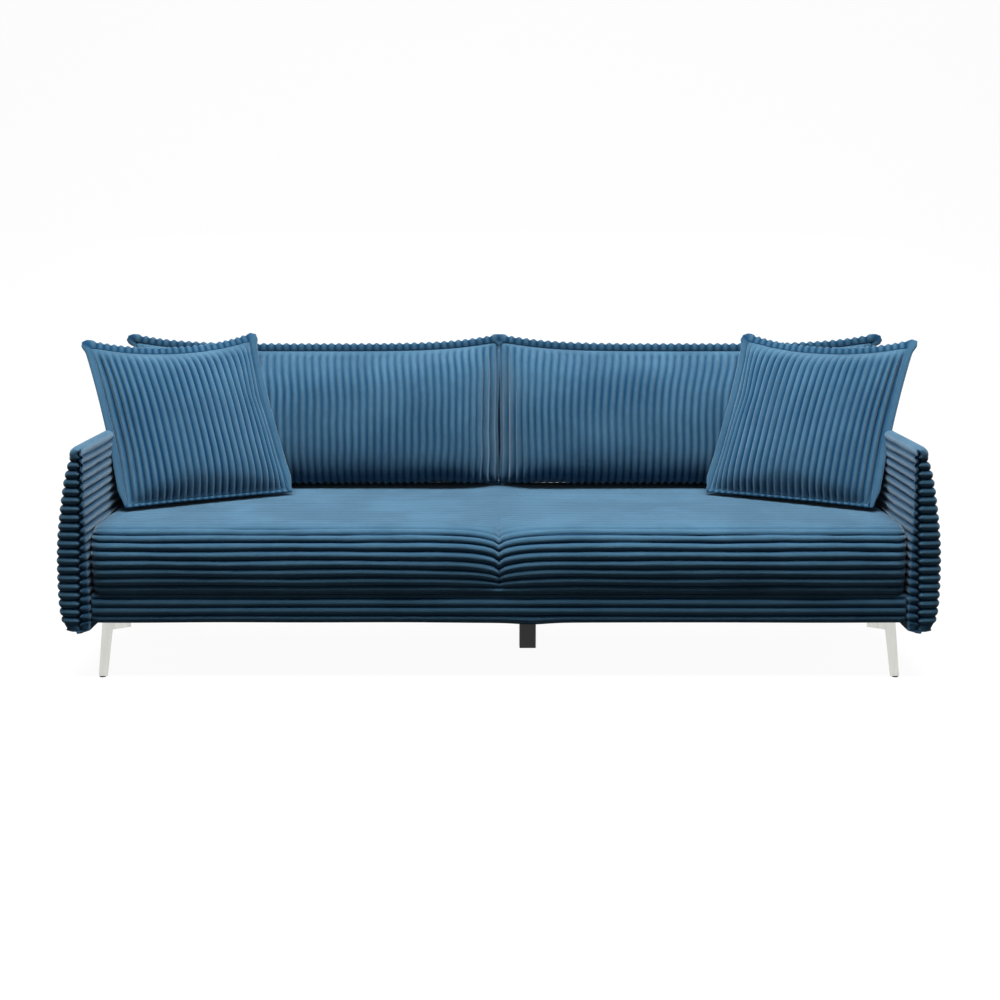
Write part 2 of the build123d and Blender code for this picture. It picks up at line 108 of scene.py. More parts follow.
def soft_wale(share):
    """Height across one wale of a loosely stuffed piece: a raised cosine, with a wide soft groove."""
    return (0.5 - 0.5 * np.cos(2.0 * np.pi * share)) ** 0.8


def unit(value):
    """A value held between 0 and 1."""
    return np.clip(value, 0.0, 1.0)


def rounded(share):
    """The root of a share held between 0 and 1, steep like a rounded edge."""
    return np.sqrt(unit(share))


def smooth(low, high, value):
    """Eased step: 0 below low, 1 above high, with a cubic between."""
    t = unit((value - low) / (high - low))
    return t * t * (3.0 - 2.0 * t)


def ripple(a, b, seed):
    """Slow unevenness from -1 to 1: five plane waves added, with directions and phases from the seed."""
    waves = np.random.default_rng(seed).uniform(-1.0, 1.0, (5, 3))
    total = sum(np.sin(a * w[0] * 6.3 + b * w[1] * 6.3 + w[2] * 3.14) for w in waves)
    return total / 3.2


def weights(count, at):
    """Matrix that samples a Catmull-Rom curve through count points at the parameters at, 0 to count - 1."""
    at = np.asarray(at, float)
    cell = np.clip(np.floor(at).astype(int), 0, count - 2)
    f = at - cell
    parts = (
        (-1, -0.5 * f + f ** 2 - 0.5 * f ** 3),
        (0, 1.0 - 2.5 * f ** 2 + 1.5 * f ** 3),
        (1, 0.5 * f + 2.0 * f ** 2 - 1.5 * f ** 3),
        (2, -0.5 * f ** 2 + 0.5 * f ** 3),
    )
    matrix = np.zeros((len(at), count))
    rows = np.arange(len(at))
    for step, part in parts:
        index = cell + step
        inside = (index >= 0) & (index < count)
        np.add.at(matrix, (rows[inside], index[inside]), part[inside])
        # past an end the curve goes on in a straight line: 2 * end - neighbour
        for bad, end, beside in ((index < 0, 0, 1), (index >= count, count - 1, count - 2)):
            np.add.at(matrix, (rows[bad], np.full(bad.sum(), end)), 2.0 * part[bad])
            np.add.at(matrix, (rows[bad], np.full(bad.sum(), beside)), -part[bad])
    return matrix


def fine_curve(points):
    """A smooth curve through a few points, as many points and the gaps between them."""
    points = np.asarray(points, float)
    fine = weights(len(points), np.linspace(0, len(points) - 1, 40 * len(points))) @ points
    return fine, np.linalg.norm(np.diff(fine, axis=0), axis=1)


def along(points, distances=None, count=None):
    """Points at the given distances (or evenly spaced) along a smooth curve through a few points."""
    fine, gaps = fine_curve(points)
    run = joined([[0.0], np.cumsum(gaps)])
    if distances is None:
        distances = np.linspace(0.0, run[-1], count)
    return np.stack([np.interp(distances, run, fine[:, k]) for k in range(fine.shape[1])], axis=1)


def length_of(points):
    """Length of the smooth curve through a few points."""
    return float(fine_curve(points)[1].sum())


def wale_stations(start, stop, pitch):
    """Stations across whole wales from start to stop, closer together in each groove."""
    first, last = math.floor(start / pitch), math.ceil(stop / pitch)
    grid = (np.arange(first, last + 1)[:, None] + WALE_STATIONS[None, :]).ravel() * pitch
    grid = grid[(grid > start + 0.0004) & (grid < stop - 0.0004)]
    return joined([[start], grid, [stop]])


def normals(points, wrap_rows=False):
    """Unit normals of a grid of points: rows direction crossed with columns direction."""
    if wrap_rows:
        down = np.roll(points, -1, axis=0) - np.roll(points, 1, axis=0)
    else:
        down = np.gradient(points, axis=0)
    right = np.gradient(points, axis=1)
    cross = np.cross(down, right)
    return cross / np.maximum(np.linalg.norm(cross, axis=2, keepdims=True), 1e-12)


# ---- meshes
def placed(name, data):
    """An object for some data, put into the scene."""
    made = bpy.data.objects.new(name, data)
    bpy.context.scene.collection.objects.link(made)
    return made


def outward_sign(grid):
    """1 where a grid's normals already point away from its middle, otherwise -1."""
    middle = grid.reshape(-1, 3).mean(axis=0)
    out = np.sum(normals(grid) * (grid - middle), axis=2)
    return 1.0 if np.median(out) > 0 else -1.0


def quads(index, wrap_rows=False):
    """Four-cornered faces between neighbouring entries of a grid of vertex numbers."""
    if wrap_rows:
        index = np.vstack([index, index[:1]])
    corners = [index[:-1, :-1], index[:-1, 1:], index[1:, 1:], index[1:, :-1]]
    return np.stack(corners, axis=2).reshape(-1, 4)


def carried(loop, s, x):
    """An outline with stations s on its seen part, over x: depth, height, run along it, 1 where seen."""
    arc, seen = np.zeros(len(loop)), np.zeros(len(loop))
    arc[:len(s)], seen[:len(s)] = s, 1.0
    return np.repeat(loop[:, :1], len(x), axis=1), np.repeat(loop[:, 1:], len(x), axis=1), arc, seen


def raised(grid, lift):
    """A grid with each point moved outwards along its normal."""
    return grid + normals(grid) * outward_sign(grid) * lift[:, :, None]


def finer(front, back, columns, rows, wide, tall):
    """Two grids sampled at more columns and rows, with the cloth's coordinates across and up them."""
    count_up, count = front.shape[0], front.shape[1]
    at, at_up = np.linspace(0.0, count - 1, columns), np.linspace(0.0, count_up - 1, rows)
    wa, wu = weights(count, at), weights(count_up, at_up)
    across = np.broadcast_to((at / (count - 1) * wide)[None, :], (rows, columns))
    up = np.broadcast_to((at_up / (count_up - 1) * tall)[:, None], (rows, columns))
    front, back = (np.einsum("ri,ijk,cj->rck", wu, face, wa) for face in (front, back))
    return front, back, across, up


class Cloth:
    """Collects grids of points into one mesh, with the wale height and painted shade as one value, and the
    cloth's own coordinates.
    """

    def __init__(self):
        self.points, self.faces, self.heights, self.cloth = [], [], [], []
        self.count = 0

    def add(self, points, heights, across, run, wrap_rows=False, caps=False):
        """Takes in one grid: wrap_rows joins its last row to its first, caps closes the two ends."""
        rows, cols = points.shape[:2]
        index = self.count + np.arange(rows * cols).reshape(rows, cols)
        heights, across, run = (np.broadcast_to(v, (rows, cols)).ravel() for v in (heights, across, run))
        self.points.append(points.reshape(-1, 3))
        self.heights.append(heights)
        self.cloth.append(np.stack([across, run], axis=1))
        self.faces.extend(quads(index, wrap_rows).tolist())
        if caps:
            self.faces.append(index[:, 0].tolist())
            self.faces.append(index[::-1, -1].tolist())
        self.count += rows * cols

    def build(self, name, material, body, replaced):
        """One object from all the grids: borders merged, faces turned outwards, riding on its body."""
        mesh = bpy.data.meshes.new(name)
        mesh.from_pydata(joined(self.points).tolist(), [], self.faces)
        # the wale attribute carries painted shade: the wale height, darkened further at seams, hems and the
        # arms' inner faces
        wales = mesh.attributes.new("wale", "FLOAT", "POINT")
        wales.data.foreach_set("value", joined(self.heights).astype(np.float32))
        corners = np.zeros(len(mesh.loops), np.int32)
        mesh.loops.foreach_get("vertex_index", corners)
        layer = mesh.uv_layers.new(name="cloth")
        layer.data.foreach_set("uv", joined(self.cloth)[corners].astype(np.float32).ravel())
        work = bmesh.new()
        work.from_mesh(mesh)
        bmesh.ops.remove_doubles(work, verts=work.verts, dist=0.00002)
        bmesh.ops.dissolve_degenerate(work, edges=work.edges, dist=0.00001)
        bmesh.ops.recalc_face_normals(work, faces=work.faces)
        work.to_mesh(mesh)
        work.free()
        mesh.polygons.foreach_set("use_smooth", np.ones(len(mesh.polygons), bool))
        piece = placed(name, mesh)
        mesh.materials.append(material)
        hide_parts(*replaced)
        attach(piece, body)
        return piece


# ---- materials
def linear(code):
    """An sRGB hex colour as linear red, green, blue and alpha."""
    values = [int(code[i:i + 2], 16) / 255.0 for i in (1, 3, 5)]
    return [v / 12.92 if v <= 0.04045 else ((v + 0.055) / 1.055) ** 2.4 for v in values] + [1.0]


# a colour Mix node takes its two colours at inputs 6 and 7, and gives the result at output 2
def add(tree, kind, inputs=None, **settings):
    """Adds one node: settings are its properties, inputs are values, hex colours or sockets linked to it."""
    new = tree.nodes.new("ShaderNode" + kind)
    for key, value in settings.items():
        setattr(new, key, value)
    for key, value in (inputs or {}).items():
        if isinstance(value, bpy.types.NodeSocket):
            tree.links.new(value, new.inputs[key])
        elif isinstance(value, str):
            new.inputs[key].default_value = linear(value)
        else:
            new.inputs[key].default_value = value
    return new


def new_material(name, **sockets):
    """A material with its Principled shader and the values that are the same all over."""
    material = bpy.data.materials.new(name)
    material.use_nodes = True
    tree = material.node_tree
    shader = next(n for n in tree.nodes if n.type == "BSDF_PRINCIPLED")
    for key, value in sockets.items():
        shader.inputs[key.replace("_", " ")].default_value = value
    return material, tree, shader


def plush_cord(name, groove, crest, brushed):
    """Cut plush cord, woven polyester: soft matt pile, pale where it is stroked, with painted shade between
    wales.
    """
    material, tree, shader = new_material(
        name, Sheen_Weight=0.55, Sheen_Roughness=0.42, Specular_IOR_Level=0.0, Roughness=0.9)
    shader.inputs["Sheen Tint"].default_value = linear("#bcd3e4")
    place = add(tree, "TexCoord").outputs["Object"]
    cloth = add(tree, "UVMap", uv_map="cloth").outputs["UV"]
    height = add(tree, "Attribute", attribute_name="wale").outputs["Fac"]
    # the pile lies differently in patches about a hand wide
    patches = add(tree, "TexNoise", {"Vector": place, "Scale": 6.0, "Detail": 4.0,
                                     "Roughness": 0.62}).outputs["Fac"]
    # streaks a few millimetres wide run along each wale
    drawn = add(tree, "Mapping", {"Vector": cloth, "Scale": (260.0, 22.0, 1.0)}).outputs["Vector"]
    streaks = add(tree, "TexNoise", {"Vector": drawn, "Scale": 1.0, "Detail": 2.0,
                                     "Roughness": 0.6}).outputs["Fac"]
    # tufts of pile, drawn at 1.8 mm so that they show
    tufts = add(tree, "TexNoise", {"Vector": place, "Scale": 560.0, "Detail": 2.0,
                                   "Roughness": 0.7}).outputs["Fac"]
    lay = add(tree, "MapRange", {"Value": patches, "From Min": 0.32, "From Max": 0.68}).outputs["Result"]
    stroke = add(tree, "MapRange", {"Value": streaks, "From Min": 0.25, "From Max": 0.75}).outputs["Result"]
    both = add(tree, "Mix", {"Factor": 0.38, 2: lay, 3: stroke}, data_type="FLOAT").outputs[0]
    top = add(tree, "Mix", {"Factor": both, 6: crest, 7: brushed}, data_type="RGBA").outputs[2]
    # painted shade: the colour runs from the dark groove colour up to the crest colour by the wale attribute
    depth = add(tree, "MapRange", {"Value": height, "From Min": 0.05, "From Max": 0.95}).outputs["Result"]
    colour = add(tree, "Mix", {"Factor": depth, 6: groove, 7: top}, data_type="RGBA").outputs[2]
    tree.links.new(colour, shader.inputs["Base Color"])
    relief = add(tree, "Math", {0: tufts, 1: streaks}, operation="ADD").outputs[0]
    bump = add(tree, "Bump", {"Strength": 0.35, "Distance": 0.0012, "Height": relief}).outputs["Normal"]
    tree.links.new(bump, shader.inputs["Normal"])
    return material


def simple(name, low, high, scale, relief, stretch=(1.0, 1.0, 1.0), rough=(0.4, 0.55), **sockets):
    """A surface whose colour, roughness and fine relief follow one noise on Object coordinates."""
    material, tree, shader = new_material(name, **sockets)
    place = add(tree, "TexCoord").outputs["Object"]
    drawn = add(tree, "Mapping", {"Vector": place, "Scale": stretch}).outputs["Vector"]
    grain = add(tree, "TexNoise", {"Vector": drawn, "Scale": scale, "Detail": 4.0,
                                   "Roughness": 0.6}).outputs["Fac"]
    share = add(tree, "MapRange", {"Value": grain, "From Min": 0.3, "From Max": 0.7}).outputs["Result"]
    colour = add(tree, "Mix", {"Factor": share, 6: low, 7: high}, data_type="RGBA").outputs[2]
    tree.links.new(colour, shader.inputs["Base Color"])
    shine = add(tree, "MapRange", {"Value": grain, "From Min": 0.3, "From Max": 0.7,
                                   "To Min": rough[0], "To Max": rough[1]}).outputs["Result"]
    tree.links.new(shine, shader.inputs["Roughness"])
    bump = add(tree, "Bump", {"Strength": 0.3, "Distance": relief, "Height": grain}).outputs["Normal"]
    tree.links.new(bump, shader.inputs["Normal"])
    return material


# the first colour is painted shade, laid into the grooves between wales
PLUSH = plush_cord("plush_cord_blue", "#032c49", "#2b4659", "#3b5b70")

# chromed steel sheet: mirror bright, with the faint drawn lines of polishing
CHROME = simple("chromed_steel", "#c4c4be", "#d2d2cd", 90.0, 0.00002, (1.0, 1.0, 0.1), (0.10, 0.20),
                Metallic=1.0)
# galvanised steel: grey with soft spangle
ZINC = simple("zinc_plated_steel", "#8d9196", "#a9adb1", 160.0, 0.00005, rough=(0.34, 0.5), Metallic=1.0)
# moulded polypropylene: black with a fine spark-eroded grain
BLACK = simple("black_moulded_plastic", "#0b0b0c", "#141416", 1500.0, 0.0001, rough=(0.42, 0.55))
# natural nylon: milky, slightly waxy
NYLON = simple("natural_nylon", "#d9d6cb", "#e6e3d9", 60.0, 0.00004, rough=(0.36, 0.46))
# planed beech: pale, with darker flecks along the grain
BEECH = simple("planed_beech", "#b48a5c", "#d2ac7c", 55.0, 0.0002, (0.08, 1.0, 1.0), (0.5, 0.66))
# hardboard: smooth pressed fibre
HARDBOARD = simple("hardboard", "#6d5138", "#866648", 240.0, 0.0001, rough=(0.6, 0.72))
# elastic webbing: woven rubber and polypropylene
WEBBING = simple("elastic_webbing", "#1c1c1e", "#39393c", 420.0, 0.0004, (1.0, 0.12, 1.0), (0.7, 0.85))
# spun-bond polypropylene: thin black dust cloth
DUST = simple("spunbond_dust_cloth", "#17181a", "#26282b", 620.0, 0.0003, rough=(0.8, 0.92))
# pressed wool felt
FELT = simple("wool_felt", "#4f5052", "#6a6b6d", 700.0, 0.0005, rough=(0.9, 0.97))

CAD_FINISH = (
    ("front_leg", CHROME), ("rear_leg", CHROME), ("centre_support_leg", BLACK), ("leg_glides", BLACK),
    ("arm_bolts", ZINC), ("cam_plate", ZINC), ("slide_channel", ZINC), ("hinge_", ZINC), ("guide_studs", ZINC),
    ("backrest_hinge_arm", ZINC), ("roller_axles", ZINC), ("front_roller", NYLON), ("rear_roller", NYLON),
    ("rest_felt", FELT), ("base_dust", DUST), ("seat_webbing", WEBBING), ("backrest_panels", HARDBOARD),
)
for name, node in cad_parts.items():
    finish = next((m for start, m in CAD_FINISH if name.startswith(start)), BEECH)
    node.data.materials.clear()
    node.data.materials.append(finish)


# ---- seat
def seat_section():
    """The seat cushion's outline from its parting line, up the front and over the top."""
    low, high = box_of("seat_cushion")
    front, foot, top, rear = low[1], low[2], high[2], high[1]
    face = [(front + 0.004, foot - 0.001), (front - 0.003, foot + 0.010), (front - 0.008, foot + 0.036),
            (front - 0.011, foot + 0.078), (front - 0.008, foot + 0.116), (front + 0.001, foot + 0.148),
            (front + 0.019, foot + 0.171), (front + 0.050, foot + 0.184), (front + 0.105, foot + 0.1895),
            (front + 0.25, top - 0.0015), (front + 0.45, top - 0.0005), (rear - 0.12, top - 0.0005),
            (rear - 0.02, top - 0.0010)]
    return np.array(face)


def seat_cushion():
    """Seat cushion: the outline carried along X, wales across it, a tuck at the middle, rounded ends."""
    low, high = box_of("seat_cushion")
    half = high[0]
    face = seat_section()
    run = length_of(face)
    front_run = 8.0 * WALE_SEAT
    s_front = wale_stations(0.0, front_run, WALE_SEAT)
    s_top = np.arange(front_run, run, WALE_SEAT / 5.0)[1:]
    s = joined([s_front, s_top, [run]])
    visible = along(face, s)
    rear, top, foot, front = high[1], high[2], low[2], low[1]
    under_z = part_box("seat_webbing")[1][2] + 0.001
    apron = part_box("seat_front_rail")[0][1] - 0.0006
    under = np.array([(rear - 0.004, top - 0.012), (rear, top - 0.03), (rear - 0.001, under_z + 0.02),
                      (rear - 0.012, under_z), (rear - 0.25, under_z), (front + 0.35, under_z),
                      (apron + 0.02, under_z), (apron, under_z - 0.004), (apron, (under_z + foot) / 2),
                      (apron, foot + 0.004), (apron - 0.006, foot), (front + 0.022, foot - 0.0008)])
    loop = np.vstack([visible, under])
    x = joined([np.arange(0.0, 0.070, 0.005), np.arange(0.070, half - 0.050, 0.0155),
                half - 0.046 * (1.0 - np.sin(np.linspace(0.0, 0.5 * np.pi, 11)))])
    x = np.unique(np.round(joined([-x, x]), 6))
    ax = np.abs(x)
    y, z, arc, seen = carried(loop, s, x)
    run_at, x_at = arc[:, None], x[None, :]
    on_front = np.zeros(len(loop))
    on_front[:len(s)] = 1.0 - smooth(front_run - 0.01, front_run + 0.10, s)
    # past the slab the cushion is only an apron and a lip, and stops short of the hinge
    narrow = box_of("backrest_rear_cover")[1][0]
    wide = smooth(narrow - 0.004, narrow + 0.003, ax)[None, :]
    lip = top - 0.044
    beneath = (loop[:, 1] < under_z + 0.03) & (loop[:, 1] > under_z - 0.005)
    beneath = beneath & (seen < 1) & (loop[:, 0] > apron)
    z = np.where(beneath[:, None], z + (lip - under_z) * wide, z)
    rear_end = smooth(rear - 0.30, rear - 0.02, loop[:, 0])[:, None]
    y = y - 0.036 * wide * rear_end
    # tuck at the middle: the wales dip to it, and a seam runs back over the top
    dip = np.exp(-ax / 0.050)[None, :]
    crease = np.exp(-((ax / 0.007) ** 2))[None, :]
    rise_share = (smooth(0.0, 0.10, arc) * seen)[:, None]
    top_share = (smooth(front_run, front_run + 0.05, arc) * seen)[:, None]
    reach_back = (1.0 - 0.93 * smooth(0.19, 0.40, arc) * seen)[:, None]
    z = z - rise_share * reach_back * (0.024 * dip * (1.0 - 0.35 * top_share) + 0.0055 * crease)
    z = z - (seen * smooth(0.23, 0.30, arc) * (1.0 - smooth(0.6, 0.8, arc)))[:, None] * 0.0022 * crease
    pull = (smooth(0.0, 0.05, arc) * on_front)[:, None]
    y = y + pull * (0.007 * dip + 0.0085 * crease)
    # each half is crowned a little and sags near the back where people sit
    crown = 0.0015 * np.cos(np.pi * (ax / half - 0.5)) - 0.002
    z = z + (seen * smooth(front_run, front_run + 0.15, arc))[:, None] * crown
    # ends: the front turns back round the corner, and the top edge rolls down beside the arm
    turn = unit((ax - (half - 0.034)) / 0.034)
    fall = (1.0 - np.sqrt(1.0 - turn ** 2))[None, :]
    depth_share = unit((loop[:, 0] - front) / 0.06)[:, None]
    y = y + seen[:, None] * on_front[:, None] * fall * 0.040 * (1.0 - depth_share * 0.7)
    z = z - (seen * smooth(front_run * 0.72, front_run, arc))[:, None] * fall * 0.014
    grid = np.stack([np.broadcast_to(x, y.shape), y, z], axis=2)
    # wales: full on the front, pressed nearly flat on the top by use
    wander = 0.055 * ripple(x_at * 2.1, run_at * 9.0, 11)
    wander = wander + 0.02 * ripple(x_at * 11.0, run_at * 30.0, 12)
    phase = run_at / WALE_SEAT + wander * on_front[:, None]
    rows_left = 1.0 - smooth(front_run - 0.030, front_run + 0.020, arc)
    strength = (seen * (0.13 + 0.87 * rows_left))[:, None]
    strength = strength * (1.0 + 0.16 * ripple(x_at * 3.0, run_at * 24.0, 13))
    ends = rounded((half + 0.0005 - ax) / 0.016)[None, :]
    strength = strength * (0.25 + 0.75 * ends) * smooth(0.0, 0.004, arc)[:, None]
    height = wale(phase)
    lift = WALE_RISE * strength * (height - 1.0)
    lift = lift + 0.0012 * ripple(x_at * 5.0, run_at * 7.0, 14) * seen[:, None] * rows_left[:, None]
    grid = raised(grid, lift)
    shade = 1.0 - strength * (1.0 - height)
    cloth = Cloth()
    cloth.add(grid, np.where(seen[:, None] > 0, shade, 0.9), run_at, x_at, wrap_rows=True, caps=True)
    return cloth.build("seat_cushion_cord", PLUSH, "seat", ["seat_cushion"])


# ---- base
def base_front():
    """The plinth's padded front: three whole wales and two part ones, carried round the front board."""
    low, high = box_of("base_front_cover")
    board_low, board_high = box_of("base_front_board")
    front, rear, foot, top, half = low[1], high[1], low[2], high[2], high[0]
    face = np.array([(front + 0.016, top - 0.0005), (front + 0.005, top - 0.005), (front + 0.0005, top - 0.018),
                     (front - 0.001, (top + foot) / 2), (front + 0.001, foot + 0.014),
                     (front + 0.009, foot + 0.001), (front + 0.024, foot - 0.0005)])
    run = length_of(face)
    s = wale_stations(0.0, run, WALE)
    seen_points = along(face, s)
    gap = 0.0004
    back = np.array([(rear, foot), (rear, board_low[2] - gap), (board_low[1] - gap, board_low[2] - gap),
                     (board_low[1] - gap, board_high[2] + gap), (rear, board_high[2] + gap), (rear, top)])
    loop = np.vstack([seen_points, back])
    x = joined([np.arange(-half + 0.012, half - 0.012, 0.016), [half - 0.012]])
    x = joined([[-half, -half + 0.002, -half + 0.006], x, [half - 0.006, half - 0.002, half]])
    ax = np.abs(x)
    y, z, arc, seen = carried(loop, s, x)
    run_at, x_at = arc[:, None], x[None, :]
    # the hem sags beside the middle leg
    leg_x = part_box("centre_support_leg")[0][0] + 0.03
    sag = 0.0045 * np.exp(-((x - leg_x) / 0.055) ** 2) + 0.0012 * (1.0 + ripple(x * 2.0, x * 0, 21))
    z = z - (seen * smooth(run * 0.45, run * 0.9, arc))[:, None] * sag[None, :]
    grid = np.stack([np.broadcast_to(x, y.shape), y, z], axis=2)
    wander = 0.05 * ripple(x_at * 1.7, run_at * 11.0, 22)
    phase = run_at / WALE + 0.18 + wander
    ends = rounded((half - ax) / 0.010)[None, :]
    uneven = 1.0 + 0.14 * ripple(x_at * 3.3, run_at * 20.0, 23)
    strength = seen[:, None] * (0.3 + 0.7 * ends) * uneven
    height = wale(phase)
    grid = raised(grid, PLINTH_RISE * strength * (height - 1.0))
    cloth = Cloth()
    cloth.add(grid, 1.0 - strength * (1.0 - height), run_at, x_at, wrap_rows=True, caps=True)
    return cloth.build("base_front_cord", PLUSH, "base", ["base_front_cover"])


def slab(name, node, body, outline, ribbed, x, wales, place, squeeze):
    """Padded cover: an outline (out, up) carried along X, ribbed on its own normals where ribbed is 1.

    place turns (out, up) into depth and height, and squeeze, if given, moves points before that."""
    outline = np.asarray(outline, float)
    ribbed = np.asarray(ribbed, float)[:, None]
    out = np.repeat(outline[:, :1], len(x), axis=1)
    up = np.repeat(outline[:, 1:], len(x), axis=1)
    wide = np.broadcast_to(x[None, :], out.shape)
    if squeeze:
        wide, out, up = squeeze(wide, out, up)
    y, z = place(out, up)
    grid = np.stack([wide, y, z], axis=2)
    run = joined([[0.0], np.cumsum(np.linalg.norm(np.diff(outline, axis=0), axis=1))])[:, None]
    ends = rounded((x[-1] - np.abs(x)) / 0.012)[None, :]
    height, rise = wales(wide, run)
    strength = ribbed * (0.2 + 0.8 * ends)
    grid = raised(grid, rise * strength * (height - 1.0))
    cloth = Cloth()
    shade = 1.0 - strength * (1.0 - height)
    cloth.add(grid, shade, wide, run, wrap_rows=True, caps=True)
    return cloth.build(name, PLUSH, body, [node])


def leaf_frame():
    """The leaf's pivot and lean, as a function from (behind its face, along it) to depth and height."""
    pivot_y = (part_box("hinge_pins")[0][1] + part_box("hinge_pins")[1][1]) / 2.0
    pivot_z = (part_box("hinge_pins")[0][2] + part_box("hinge_pins")[1][2]) / 2.0

    def place(behind, reach):
        y = pivot_y + reach * math.sin(LEAF_LEAN) + behind * math.cos(LEAF_LEAN)
        z = pivot_z + reach * math.cos(LEAF_LEAN) - behind * math.sin(LEAF_LEAN)
        return y, z
    return place


def leaf_covers():
    """The leaf's bed pad with a flap over its top rail, and its rear cover, both with upright wales."""
    place = leaf_frame()
    half = box_of("backrest_pad")[1][0]
    narrow = box_of("backrest_rear_cover")[1][0]

    def upright(wide, run):
        return soft_wale(wide / WALE_BACK + 0.5 + 0.03 * ripple(run * 3.0, wide * 2.0, 24)), LEAF_RISE

    rows = (np.arange(-48, 49)[:, None] + LEAF_STATIONS[None, :]).ravel() * WALE_BACK
    x = joined([[-half], rows[np.abs(rows) < half - 0.001], [half]])
    face = [(0.012, 0.008), (0.002, 0.016), (0.0005, 0.034)]
    face += [(0.0005, a) for a in np.linspace(0.06, 0.39, 12)]
    face += [(0.0015, 0.408), (0.006, 0.419), (0.015, 0.4255), (0.030, 0.428), (0.060, 0.4285),
             (0.090, 0.4275), (0.097, 0.425)]
    hidden = [(0.097, 0.4215), (0.0600, 0.4215), (0.0595, 0.22), (0.0595, 0.034), (0.0595, 0.020),
              (0.057, 0.008)]

    def step_in(wide, out, up):
        inside = (up < 0.031) | (out > 0.0615)
        return np.where(inside, np.clip(wide, -narrow + 0.001, narrow - 0.001), wide), out, up

    ribbed = [0.4] + [1.0] * (len(face) - 2) + [0.3] + [0.0] * len(hidden)
    slab("backrest_pad_cord", "backrest_pad", "backrest", face + hidden, ribbed, x, upright, place,
         step_in)
    x = joined([[-narrow, -narrow + 0.0015, -narrow + 0.0045], rows[np.abs(rows) < narrow - 0.006],
                [narrow - 0.0045, narrow - 0.0015, narrow]])
    face = [(0.099, 0.4255), (0.104, 0.425), (0.108, 0.420), (0.110, 0.410)]
    face += [(0.110, a) for a in np.linspace(0.38, 0.04, 12)]
    face += [(0.1095, 0.020), (0.107, 0.010), (0.102, 0.006)]
    hidden = [(0.0985, reach) for reach in (0.0065, 0.03, 0.15, 0.165, 0.30, 0.415, 0.4205)]

    def round_the_stile(wide, out, up):
        beside = (np.abs(wide) > narrow - 0.0046) & (out < 0.0986) & (up > 0.16)
        return wide, np.where(beside, 0.0612, out), up

    ribbed = [0.2, 0.5] + [1.0] * (len(face) - 4) + [0.5, 0.2] + [0.0] * len(hidden)
    slab("backrest_rear_cord", "backrest_rear_cover", "backrest", face + hidden, ribbed, x, upright, place,
         round_the_stile)


def base_rear():
    """The plinth's rear cover: wales run along it, and its top is folded over the rear panel."""
    low, high = box_of("base_rear_cover")
    panel_low = box_of("base_rear_panel")[0]
    rear, foot, top, half = high[1], low[2], high[2], high[0]
    levels = wale_stations(0.012, top - foot - 0.006, WALE)
    face = [(rear - 0.008, foot - 0.0005), (rear - 0.001, foot + 0.006)]
    face += [(rear, foot + level) for level in levels]
    fold = [(rear - 0.001, top - 0.001), (rear - 0.006, top + 0.0022), (panel_low[1] + 0.004, top + 0.0026),
            (panel_low[1], top + 0.0020), (panel_low[1], top + 0.0006), (low[1] + 0.0006, top + 0.0006),
            (low[1] + 0.0006, foot + 0.1), (low[1] + 0.0006, foot)]
    x = joined([[-half, -half + 0.002, -half + 0.006], np.arange(-half + 0.014, half - 0.013, 0.016),
                [half - 0.006, half - 0.002, half]])

    def level_wales(wide, run):
        return wale(run / WALE + 0.04 * ripple(run * 9.0, wide * 1.6, 27)), REAR_RISE

    ribbed = [0.3, 1.0] + [1.0] * len(levels) + [0.5] + [0.0] * (len(fold) - 1)
    slab("base_rear_cord", "base_rear_cover", "base", face + fold, ribbed, x, level_wales,
         lambda out, up: (out, up), None)


# ---- arms
ARM_INSETS = ((0.000, 0.026), (0.055, 0.016), (0.155, 0.014), (0.255, 0.019), (0.355, 0.033),
              (0.435, 0.048), (0.494, 0.067))   # height over the arm's foot, outer face in from the widest


